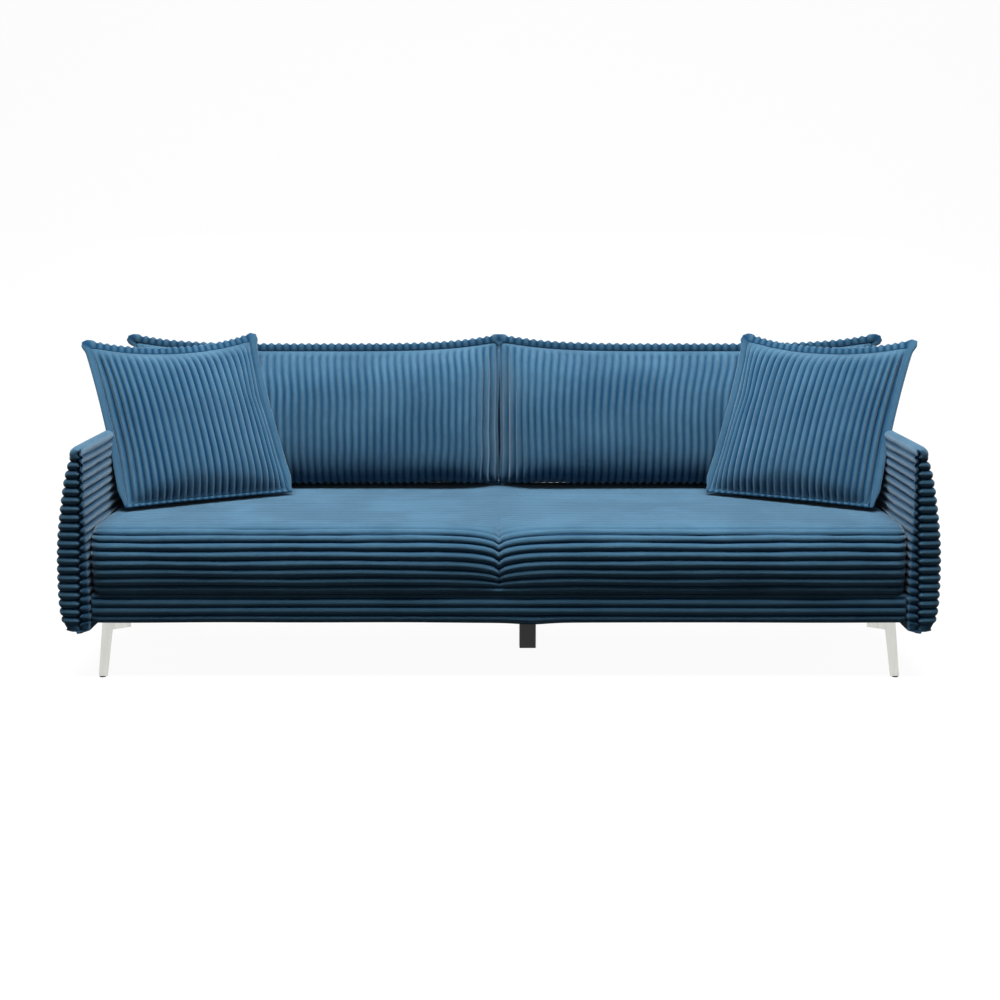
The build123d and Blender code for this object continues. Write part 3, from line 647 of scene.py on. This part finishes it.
def arm(name, side):
    """Padded arm: a wedge section, wales running back, gathered to a zigzag seam down the nose."""
    low, high = box_of("arm_" + name)
    widest = max(abs(low[0]), abs(high[0]))
    inside = min(abs(low[0]), abs(high[0]))
    foot, crown = low[2], high[2]
    front, rear = low[1], high[1]
    z_top = crown - 0.026
    # outer face of the crests, and inner face, by height
    insets = np.array(ARM_INSETS)
    outer_curve = along(np.stack([insets[:, 0] + foot, widest - insets[:, 1]], axis=1), count=200)
    z_side = np.arange(z_top, foot - 1e-6, -WALE / 10)[::-1]
    z_side = joined([[foot - 0.004, foot - 0.001], z_side[z_side > foot + 0.001]])
    x_out = np.interp(z_side, outer_curve[:, 0], outer_curve[:, 1])
    x_in = inside - 0.0010 + 0.003 * unit((z_side - foot - 0.148) / 0.357)
    hem = smooth(foot + 0.030, foot, z_side)
    # the hem draws in under the arm
    x_out = x_out - 0.006 * hem
    x_in = x_in + 0.002 * hem
    top_turn = np.linspace(0.0, np.pi, 13)[1:-1]
    mid_x, half_x = (x_in[-1] + x_out[-1]) / 2, (x_out[-1] - x_in[-1]) / 2
    x_cap = mid_x - half_x * np.cos(top_turn) * (1.0 + 0.10 * np.sin(top_turn))
    z_cap = z_top + (crown - z_top) * np.sin(top_turn) ** 0.8
    x_base = np.linspace(x_out[0], x_in[0], 6)[1:-1]
    xs = joined([x_in, x_cap, x_out[::-1], x_base])
    zs = joined([z_side, z_cap, z_side[::-1], np.full(4, foot - 0.005)])
    # which part of the section a row is on: 0 inner face, 1 outer face, 2 rounded top, 3 underside
    kind = joined([np.zeros(len(z_side)), np.full(len(top_turn), 2.0), np.ones(len(z_side)),
                   np.full(4, 3.0)])
    on_top, underside = kind == 2.0, kind == 3.0
    low_x = np.interp(zs, z_side, x_in)
    high_x = np.interp(zs, z_side, x_out)
    q = unit((xs - low_x) / np.maximum(high_x - low_x, 1e-6))
    # plan of the nose and of the rear end: share of the half width, and distance back from the front
    outer_nose = along([(0.0, 0.008), (0.08, 0.002), (0.25, 0.0), (0.60, 0.001), (0.84, 0.006),
                        (0.96, 0.018), (1.0, 0.045)], count=24)
    inner_nose = along([(0.0, 0.008), (0.30, 0.003), (0.75, 0.003), (0.95, 0.008), (1.0, 0.020),
                        (1.0, 0.045)], count=24)
    rear_end = along([(1.0, 0.040), (0.93, 0.016), (0.70, 0.003), (0.35, 0.0), (0.0, 0.004)], count=12)
    length = rear - front
    run = np.linspace(0.045, length - 0.040, 38)[1:-1]
    f_out = joined([outer_nose[:, 0], np.ones(len(run)), rear_end[:, 0]])
    f_in = joined([inner_nose[:, 0], np.ones(len(run)), rear_end[:, 0]])
    d_out = joined([outer_nose[:, 1], run, length - rear_end[:, 1]])
    d_in = joined([inner_nose[:, 1], run, length - rear_end[:, 1]])
    f_out, f_in = unit(f_out), unit(f_in)
    is_rear = joined([np.zeros(24), smooth(0.5, 0.9, run / length), np.ones(12)])
    # seam across the section: near the inner face on the nose, in the middle behind
    phase_out = (zs - z_top) / WALE + 0.5
    zig = 0.0034 * np.cos(2.0 * np.pi * phase_out)
    nose_seam = np.clip(widest - 0.0745 - 0.048 * (zs - foot), low_x + 0.004, high_x - 0.012) + zig
    rear_seam = 0.5 * (low_x + high_x)
    seam = nose_seam[:, None] * (1.0 - is_rear[None, :]) + rear_seam[:, None] * is_rear[None, :]
    f = np.where(xs[:, None] < seam, f_in[None, :], f_out[None, :])
    x = seam + (xs[:, None] - seam) * f
    d = d_in[None, :] * (1.0 - q[:, None]) + d_out[None, :] * q[:, None]
    # the outer face swells half way back and half way up
    swell = 0.0065 * np.sin(np.pi * unit(d / length)) ** 0.6
    below_top = 1.0 - smooth(z_top - 0.16, z_top, zs)[:, None]
    x = x + swell * q[:, None] * smooth(foot, foot + 0.08, zs)[:, None] * below_top
    # the top wale's end is rounded at the nose, and the hem is uneven
    end = 1.0 - rounded(1.0 - (1.0 - unit(d / 0.034)) ** 2)
    z = zs[:, None] - end * 0.010 * smooth(z_top - 0.012, crown, zs)[:, None]
    z = z + 0.0016 * ripple(d * 5.0, zs[:, None] * 0.0, 31 + int(side)) * smooth(foot + 0.03, foot, zs)[:, None]
    grid = np.stack([side * x, front + d, z], axis=2)
    phase = np.where(q > 0.5, phase_out, phase_out + 0.5)[:, None]
    phase = phase + 0.085 * ripple(d * 2.6, zs[:, None] * 9.0, 41 + int(side)) * smooth(0.05, 0.15, d)
    height = wale(phase)
    height = np.where(on_top[:, None], 1.0, height)
    to_seam = np.abs(x - seam)
    at_seam = np.where(np.minimum(d, length - d) < 0.06, rounded(to_seam / 0.0055), 1.0)
    ribbed = smooth(foot + 0.014, foot + 0.026, zs)[:, None] * ~underside[:, None]
    share = np.where(on_top, 0.35, np.where(q > 0.5, 1.0, 0.72))[:, None]
    depth = WALE_RISE * share * (1.0 + 0.13 * ripple(d * 3.0, zs[:, None] * 25.0, 51 + int(side)))
    sunk = depth * ((1.0 - height * at_seam) * ribbed + (1.0 - ribbed) * 0.4)
    out = normals(grid, True) * arm_sign(grid)
    # both faces meet in the seam, so there they are drawn in the same way, straight back
    for column, way in ((0, -1.0), (-1, 1.0)):
        out[:, column] = np.where(underside[:, None], (0.0, 0.0, -1.0), (0.0, way, 0.0))
        sunk[:, column] = np.where(underside, 0.4 * WALE_RISE, 0.0045)
    grid = grid - out * sunk[:, :, None]
    cloth = Cloth()
    # painted shade: darker in the grooves, along the nose seam, and along the hem where the cloth turns under
    shade = 1.0 - (1.0 - height * (0.35 + 0.65 * at_seam)) * ribbed
    shade = shade * (1.0 - 0.35 * (1.0 - ribbed))
    # painted shade: the inner face is darkened, standing in for the less light it gets
    shade = shade * np.where((q > 0.5) | on_top, 1.0, 0.62)[:, None]
    cloth.add(grid, shade, zs[:, None], d, wrap_rows=True)
    return cloth.build("arm_cord_" + name, PLUSH, "base", ["arm_" + name])


def arm_sign(grid):
    """Sign that turns a tube's grid normals outwards, from the points' offset to each column's middle."""
    centre = grid.mean(axis=0, keepdims=True)
    out = np.sum(normals(grid, True) * (grid - centre), axis=2)
    return 1.0 if np.median(out[:, 10:-10]) > 0 else -1.0


# ---- stuffed pieces
def puff(front, back):
    """Blows up two grids that share their borders: cloth under inside air, without gravity."""
    rows, cols = front.shape[:2]
    outer = np.arange(rows * cols).reshape(rows, cols)
    facing = outer.copy()
    facing[1:-1, 1:-1] = outer.size + np.arange((rows - 2) * (cols - 2)).reshape(rows - 2, cols - 2)
    start = joined([front.reshape(-1, 3), back[1:-1, 1:-1].reshape(-1, 3)])
    mesh = bpy.data.meshes.new("blown")
    mesh.from_pydata(start.tolist(), [], quads(outer).tolist() + quads(facing)[:, ::-1].tolist())
    body = placed("blown", mesh)
    scene = bpy.context.scene
    air = body.modifiers.new("air", "CLOTH")
    air.settings.quality = 5
    air.settings.mass = 0.25
    air.settings.tension_stiffness = 25.0
    air.settings.compression_stiffness = 12.0
    air.settings.shear_stiffness = 8.0
    air.settings.bending_stiffness = 0.6
    air.settings.use_pressure = True
    air.settings.uniform_pressure_force = AIR_PRESSURE
    air.settings.effector_weights.gravity = 0.0
    air.collision_settings.use_collision = False
    air.point_cache.frame_start = 1
    air.point_cache.frame_end = AIR_STEPS
    for step in range(1, AIR_STEPS + 1):
        scene.frame_set(step)
    ready = body.evaluated_get(bpy.context.evaluated_depsgraph_get())
    moved = np.zeros(len(start) * 3, np.float32)
    ready.data.vertices.foreach_get("co", moved)
    scene.frame_set(1)
    bpy.data.objects.remove(body)
    bpy.data.meshes.remove(mesh)
    shift = moved.reshape(-1, 3).astype(float) - start
    size = np.linalg.norm(shift, axis=1, keepdims=True)
    done = start + shift * np.minimum(1.0, AIR_REACH / np.maximum(size, 1e-9))
    return relaxed(done[outer]), relaxed(done[facing])


def relaxed(grid):
    """Smooths small crumples: each inner point moves half way to the mean of its four neighbours."""
    for _ in range(10):
        mean = (grid[:-2, 1:-1] + grid[2:, 1:-1] + grid[1:-1, :-2] + grid[1:-1, 2:]) / 4.0
        grid[1:-1, 1:-1] = 0.5 * grid[1:-1, 1:-1] + 0.5 * mean
    return grid


def fit(front, back, left, right, foot, head):
    """Brings a blown form's sewn border back to its cut: x of the two side edges and z of foot and head."""
    rows, cols = front.shape[:2]
    v = np.linspace(0.0, 1.0, rows)[:, None]
    u = np.linspace(0.0, 1.0, cols)[None, :]
    move_left, move_right = left - front[:, 0, 0], right - front[:, -1, 0]
    move_foot, move_head = foot - front[0, :, 2], head - front[-1, :, 2]
    for face in (front, back):
        face[:, :, 0] += move_left[:, None] * (1.0 - u) + move_right[:, None] * u
        face[:, :, 2] += move_foot[None, :] * (1.0 - v) + move_head[None, :] * v
    return front, back


def border(front):
    """The border of a grid as one closed run of points, anticlockwise from its first corner."""
    return joined([front[0, :-1], front[:-1, -1], front[-1, :0:-1], front[:0:-1, 0]])


def flange(cloth, front, across, width, thick, towards, pitch):
    """A flat sewn edge round a stuffed piece: a closed strip, scalloped where the wales run out to it."""
    edge = border(front)
    u = border(across[:, :, None])[:, 0]
    wide = border(width[:, :, None])[:, 0]
    tangent = np.roll(edge, -1, axis=0) - np.roll(edge, 1, axis=0)
    out = np.cross(tangent, towards)
    out /= np.linalg.norm(out, axis=1, keepdims=True)
    for _ in range(6):
        out = 0.25 * np.roll(out, 1, axis=0) + 0.5 * out + 0.25 * np.roll(out, -1, axis=0)
    if np.sum(out * (edge - edge.mean(axis=0))) < 0:
        out = -out
    # the smoothed direction is short at a corner, and the power makes the corner pointed
    out = out / np.linalg.norm(out, axis=1, keepdims=True) ** 1.7
    # wales run out to the foot and head edges only
    crossed = np.zeros(front.shape)
    crossed[[0, -1]] = 1.0
    scallop = np.where(border(crossed)[:, 0] > 0.5, soft_wale(u / pitch), 0.75)
    scallop = 0.15 * np.roll(scallop, 1) + 0.7 * scallop + 0.15 * np.roll(scallop, -1)
    reach = wide * (0.76 + 0.24 * scallop)
    bulk = thick * (0.50 + 0.50 * scallop)
    turn = np.linspace(0.0, 2.0 * np.pi, 13)[:-1]
    o = 0.5 - 0.5 * np.cos(turn)
    t = np.sin(turn) * (0.75 + 0.35 * o)
    tuck = 0.005
    strip = (edge[None] + out[None] * ((-tuck + (reach + tuck) * o[:, None])[:, :, None])
             + towards[None, None, :] * (bulk[None, :] * t[:, None])[:, :, None])
    strip = joined([strip, strip[:, :1]], axis=1)
    # painted shade: darker in the dips between scallops and where the strip folds into the seam
    shade = joined([scallop, scallop[:1]])[None, :] * np.ones((12, 1))
    shade = shade * (0.45 + 0.55 * smooth(0.0, 0.35, o))[:, None]
    cloth.add(strip, shade, joined([u, u[:1]])[None, :], o[:, None] * 0.03, wrap_rows=True)


def stuffed(cloth, front, back, across, up, pitch, rise, fade, seed, seam):
    """Ribs both faces of a stuffed piece along their own normals, fading out at the sewn edges, with painted
    shade in the grooves and along the seams.
    """
    for face, way in ((front, 1.0), (back, -1.0)):
        step = np.cross(np.gradient(face, axis=1), np.gradient(face, axis=0))
        out = step / np.maximum(np.linalg.norm(step, axis=2, keepdims=True), 1e-12) * way
        phase = across / pitch + 0.04 * ripple(across * 4.0, up * 5.0, seed)
        height = soft_wale(phase)
        lift = rise * fade * (height - 1.0)
        grid = face + out * lift[:, :, None]
        # painted shade: darker in the grooves and where the seam array falls towards the sewn edges
        shade = (1.0 - fade * (1.0 - height)) * (0.15 + 0.85 * seam)
        cloth.add(grid, shade, across, up)


def pillow(name, side):
    """Throw pillow: two square panels blown up as cloth, sewn flat edge all round, pointed corners."""
    low, high = box_of("throw_pillow_" + name)
    middle = (low + high) / 2.0
    # the left pillow's own directions: across it, out of its face, and up it
    right = np.array([math.cos(PILLOW_YAW), math.sin(PILLOW_YAW), 0.0])
    normal = np.array([math.sin(PILLOW_YAW) * math.cos(PILLOW_TILT),
                       -math.cos(PILLOW_YAW) * math.cos(PILLOW_TILT), math.sin(PILLOW_TILT)])
    upward = np.cross(normal, right) * -1.0
    if upward[2] < 0:
        upward = -upward
    side_length, wide = 0.500, 0.524
    cells = 34
    t = np.linspace(-1.0, 1.0, cells + 1)
    a, b = np.meshgrid(t, t)
    # the lower edge is rolled under where the pillow stands on the seat
    upright = np.where(b < 0.0, 1.0 - np.abs(b) ** 2.8, 1.0 - b ** 2)
    bulge = 0.052 * ((1 - a ** 2) * upright) ** 0.62
    flat = np.stack([a * wide / 2, 0.0 * a, b * side_length / 2], axis=2)
    front, back = flat.copy(), flat.copy()
    front[:, :, 1] -= bulge
    back[:, :, 1] += bulge
    front, back = puff(front, back)
    half = side_length / 2.0
    curve = 1.0 - t ** 2
    front, back = fit(front, back, -wide / 2.0 + 0.009 * curve, wide / 2.0 - 0.009 * curve,
                      -half - 0.030 + 0.003 * curve, half - 0.036 * (1.0 - np.abs(t) ** 2.2))
    depth = 0.5 * (back[:, :, 1] - front[:, :, 1]).max()
    half_thickness = 0.066
    for face in (front, back):
        face[:, :, 1] *= half_thickness / depth
    columns = int(round(wide / WALE_PILLOW)) * 8 + 1
    front, back, across, up = finer(front, back, columns, 90, wide, side_length)
    turned = np.stack([right, -normal, upward], axis=0)
    front, back = front @ turned, back @ turned
    if side < 0:
        front, back = front + middle, back + middle
    else:
        left_middle = middle * MIRROR
        front, back = ((face + left_middle) * MIRROR for face in (front, back))
        front, back = front[:, ::-1], back[:, ::-1]
        normal = normal * MIRROR
    # it stands on the seat
    rest = box_of("seat_cushion")[1][2] + 0.001
    for face in (front, back):
        face[:, :, 2] = np.maximum(face[:, :, 2], rest + 0.0015 * (1.0 - smooth(0.0, 0.02, up)))
    edge_x = np.minimum(across, wide - across)
    uneven = 1.0 + 0.15 * ripple(across * 6.0, up * 5.0, 65 + int(side))
    fade = (smooth(0.0, 0.060, side_length - up) * smooth(0.0, 0.008, up)
            * rounded(edge_x / 0.010) * uneven)
    cloth = Cloth()
    # painted shade along the sewn side and top edges
    seam = smooth(0.0, 0.005, edge_x) * smooth(0.0, 0.006, side_length - up)
    stuffed(cloth, front, back, across, up, WALE_PILLOW, PILLOW_RISE, fade, 61 + int(side), seam)
    width = 0.006 + 0.013 * smooth(0.0, 0.05, up) + 0.006 * smooth(side_length - 0.02, side_length, up)
    flange(cloth, front, across, width, 0.0048, normal, WALE_PILLOW)
    part = "throw_pillow_" + name
    return cloth.build("pillow_cord_" + name, PLUSH, part, [part])


def back_cushion(name, side):
    """Back cushion: a wedge with a front panel that rolls under at its foot, leaning on the leaf."""
    low, high = box_of("back_cushion_" + name)
    inner = 0.0014                       # half the gap between the two cushions
    outer = high[0] if side > 0 else -low[0]
    arm_top = 0.66
    seat_z, head_z = low[2], high[2]
    pivot_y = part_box("hinge_pins")[0][1] + 0.009
    leaf_u = np.array([math.sin(LEAF_LEAN), math.cos(LEAF_LEAN)])
    cells_x, cells_u = 58, 26
    a = np.linspace(0.0, 1.0, cells_x + 1)
    b = np.linspace(0.0, 1.0, cells_u + 1)
    # (y, z) outlines of the front and rear panels, foot seam to head seam
    foot_seam = (pivot_y - 0.070, seat_z + 0.004)
    head_seam = (pivot_y + 0.030, head_z - 0.022)
    front_line = along([foot_seam, (pivot_y - 0.130, seat_z + 0.0012), (pivot_y - 0.166, seat_z + 0.0030),
                        (pivot_y - 0.180, seat_z + 0.040), (pivot_y - 0.155, seat_z + 0.170),
                        (pivot_y - 0.108, seat_z + 0.290), (pivot_y - 0.050, seat_z + 0.375), head_seam],
                       count=cells_u + 1)
    rear_line = along([foot_seam, (pivot_y - 0.030, seat_z + 0.006), (pivot_y + 0.006, seat_z + 0.050),
                       (pivot_y + 0.038, seat_z + 0.200), (pivot_y + 0.068, seat_z + 0.340),
                       (pivot_y + 0.066, seat_z + 0.400), head_seam], count=cells_u + 1)
    ear = 1.188 if side < 0 else 1.222
    x_in = inner + 0.0034 * np.sin(np.pi * unit(b / 0.95)) ** 2
    x_out = outer + (ear - outer) * smooth(0.52, 1.0, b) ** 1.3
    # the head seam sags between the ears, and the two panels meet at the sides
    sag = 0.030
    seam_sag = sag * (1.0 - (2.0 * a - 1.0) ** 4)
    pinch = 1.0 - np.abs(2.0 * a - 1.0) ** 16
    grids = []
    middle_line = 0.5 * (front_line + rear_line)
    for line in (front_line, rear_line):
        y, z = (middle_line[:, k, None] + (line - middle_line)[:, k, None] * pinch[None, :] for k in (0, 1))
        x = x_in[:, None] + (x_out - x_in)[:, None] * a[None, :]
        z = z + (sag - seam_sag)[None, :] * smooth(0.45, 1.0, b)[:, None]
        grids.append(np.stack([x, y, z], axis=2))
    front, back = grids
    cut = front.copy()
    front, back = puff(front, back)
    gap = 0.0025 * ripple(b * 3.0, b * 0.0, 81) * smooth(1.0, 0.8, b)
    front, back = fit(front, back, cut[:, 0, 0] + gap * side, cut[:, -1, 0], cut[0, :, 2], cut[-1, :, 2])
    # it rests on the seat and lies against the leaf, clear of the arm below the arm's top
    for face in (front, back):
        face[:, :, 2] = np.maximum(face[:, :, 2], seat_z + 0.001)
        ahead = (face[:, :, 1] - pivot_y) * leaf_u[1] - (face[:, :, 2] - seat_z) * leaf_u[0]
        over = np.maximum(ahead + 0.0025, 0.0)
        face[:, :, 1] -= over * leaf_u[1]
        face[:, :, 2] += over * leaf_u[0]
        face[:, :, 0] = np.maximum(face[:, :, 0], 0.0006)
        low_part = 1.0 - smooth(arm_top - 0.03, arm_top + 0.04, face[:, :, 2])
        wide, limit = face[:, :, 0], outer - 0.002
        face[:, :, 0] = np.where(wide > limit, wide * (1 - low_part) + limit * low_part, wide)
    width_full = 1.150
    wales = int(round(width_full / WALE_BACK))
    pitch = width_full / wales
    front, back, across, up = finer(front, back, wales * 8 + 1, 78, width_full, 1.0)
    front, back = front * np.array([side, 1.0, 1.0]), back * np.array([side, 1.0, 1.0])
    if side < 0:
        front, back, across = front[:, ::-1], back[:, ::-1], across[:, ::-1]
    edge_x = np.minimum(across, width_full - across)
    fade = rounded(edge_x / 0.010) * smooth(0.0, 0.04, up) * smooth(1.0, 0.93, up)
    fade = fade * (0.80 + 0.20 * smooth(0.35, 0.12, up) + 0.12 * ripple(across * 2.0, up * 3.0, 71 + int(side)))
    cloth = Cloth()
    # painted shade along the sewn edges and the head seam, and darker towards the foot, where it stands on the
    # seat
    seam = smooth(0.0, 0.009, edge_x) * smooth(1.0, 0.985, up) * (0.5 + 0.5 * smooth(0.0, 0.12, up))
    stuffed(cloth, front, back, across, up, pitch, CUSHION_RISE, fade, 73 + int(side), seam)
    # the sewn edge stands out at the head and is a thin seam elsewhere
    top_part = smooth(0.93, 1.0, up)
    width = 0.0015 + 0.0245 * top_part
    thick = 0.0020 + 0.0038 * border(top_part[:, :, None])[:, 0]
    flange(cloth, front, across, width, thick, np.array([0.0, -1.0, 0.10]), pitch)
    part = "back_cushion_" + name
    return cloth.build("back_cushion_cord_" + name, PLUSH, "backrest", [part])


# ---- making them
seat_cushion()
base_front()
base_rear()
leaf_covers()
for name, side in SIDES.items():
    arm(name, side)
    pillow(name, side)
    cushion = back_cushion(name, side)
    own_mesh(cushion)


# ---- stage, light and camera
def sweep():
    """Pale studio floor that curves up into a backdrop far behind."""
    front, back, radius, top, half_width = -9.0, 3.5, 2.5, 9.0, 14.0
    line = [(front, 0.0), (back, 0.0)]
    turn = np.linspace(0.0, 0.5 * np.pi, 13)[1:]
    line += [(back + radius * math.sin(t), radius - radius * math.cos(t)) for t in turn]
    line += [(back + radius, top)]
    points = [(x, y, z) for y, z in line for x in (-half_width, half_width)]
    faces = [(2 * i, 2 * i + 1, 2 * i + 3, 2 * i + 2) for i in range(len(line) - 1)]
    mesh = bpy.data.meshes.new("studio_floor")
    mesh.from_pydata(points, [], faces)
    mesh.polygons.foreach_set("use_smooth", np.ones(len(faces), bool))
    floor = placed("studio_floor", mesh)
    material, tree, shader = new_material("studio_paint", Roughness=0.9, Specular_IOR_Level=0.1)
    place = add(tree, "TexCoord").outputs["Object"]
    tone = add(tree, "TexNoise", {"Vector": place, "Scale": 0.6, "Detail": 1.0}).outputs["Fac"]
    paint = add(tree, "Mix", {"Factor": tone, 6: "#363636", 7: "#3a3a3a"}, data_type="RGBA").outputs[2]
    tree.links.new(paint, shader.inputs["Base Color"])
    # the paint glows to the eye and in chrome, and throws little light back at the cloth
    glow = add(tree, "MapRange", {"Value": seen_or_mirrored(tree), "To Max": 0.95}).outputs["Result"]
    shader.inputs["Emission Color"].default_value = (1.0, 1.0, 1.0, 1.0)
    tree.links.new(glow, shader.inputs["Emission Strength"])
    mesh.materials.append(material)


def seen_or_mirrored(tree):
    """1 for what is seen directly or in polished metal, 0 for what only lights the cloth."""
    path = add(tree, "LightPath")
    return add(tree, "Math", {0: path.outputs["Is Camera Ray"], 1: path.outputs["Is Glossy Ray"]},
               operation="MAXIMUM").outputs[0]


def light(name, place, aim, size, power):
    """A soft area light at a place, turned towards a point."""
    data = bpy.data.lights.new(name, "AREA")
    data.shape = "RECTANGLE"
    data.size, data.size_y = size
    data.energy = power
    lamp = placed(name, data)
    way = Vector(aim) - Vector(place)
    lamp.location = place
    lamp.rotation_euler = way.to_track_quat("-Z", "Y").to_euler()


sweep()
light("overhead_softbox", (0.0, -0.95, 4.7), (0.0, 0.0, 0.4), (4.8, 1.7), 680.0)
light("rear_softbox", (0.0, 5.2, 2.4), (0.0, 0.4, 0.5), (5.0, 1.6), 260.0)
for name, side in SIDES.items():
    light(name + "_softbox", (side * 5.2, 0.6, 1.8), (0.0, 0.1, 0.5), (2.0, 2.0), 22.0)
world = bpy.data.worlds.new("studio_air")
world.use_nodes = True
# the air is seen, and mirrored in chrome, as white paper, and lights the room softly
seen = seen_or_mirrored(world.node_tree)
glow = add(world.node_tree, "MapRange", {"Value": seen, "To Min": 0.17, "To Max": 1.0}).outputs["Result"]
air = world.node_tree.nodes["Background"]
world.node_tree.links.new(glow, air.inputs["Strength"])
air.inputs["Color"].default_value = (1.0, 1.0, 1.0, 1.0)
bpy.context.scene.world = world
bpy.context.scene.view_settings.view_transform = "Standard"

eye = bpy.data.cameras.new("studio_camera")
eye.lens = 55.66
eye.sensor_width = 36.0
camera = placed("studio_camera", eye)
camera.location = (0.003, cad_box[0][1] - 4.2, 1.261)
camera.rotation_euler = (math.radians(90.0 - 10.02), 0.0, 0.0)     # looking slightly down
bpy.context.scene.camera = camera
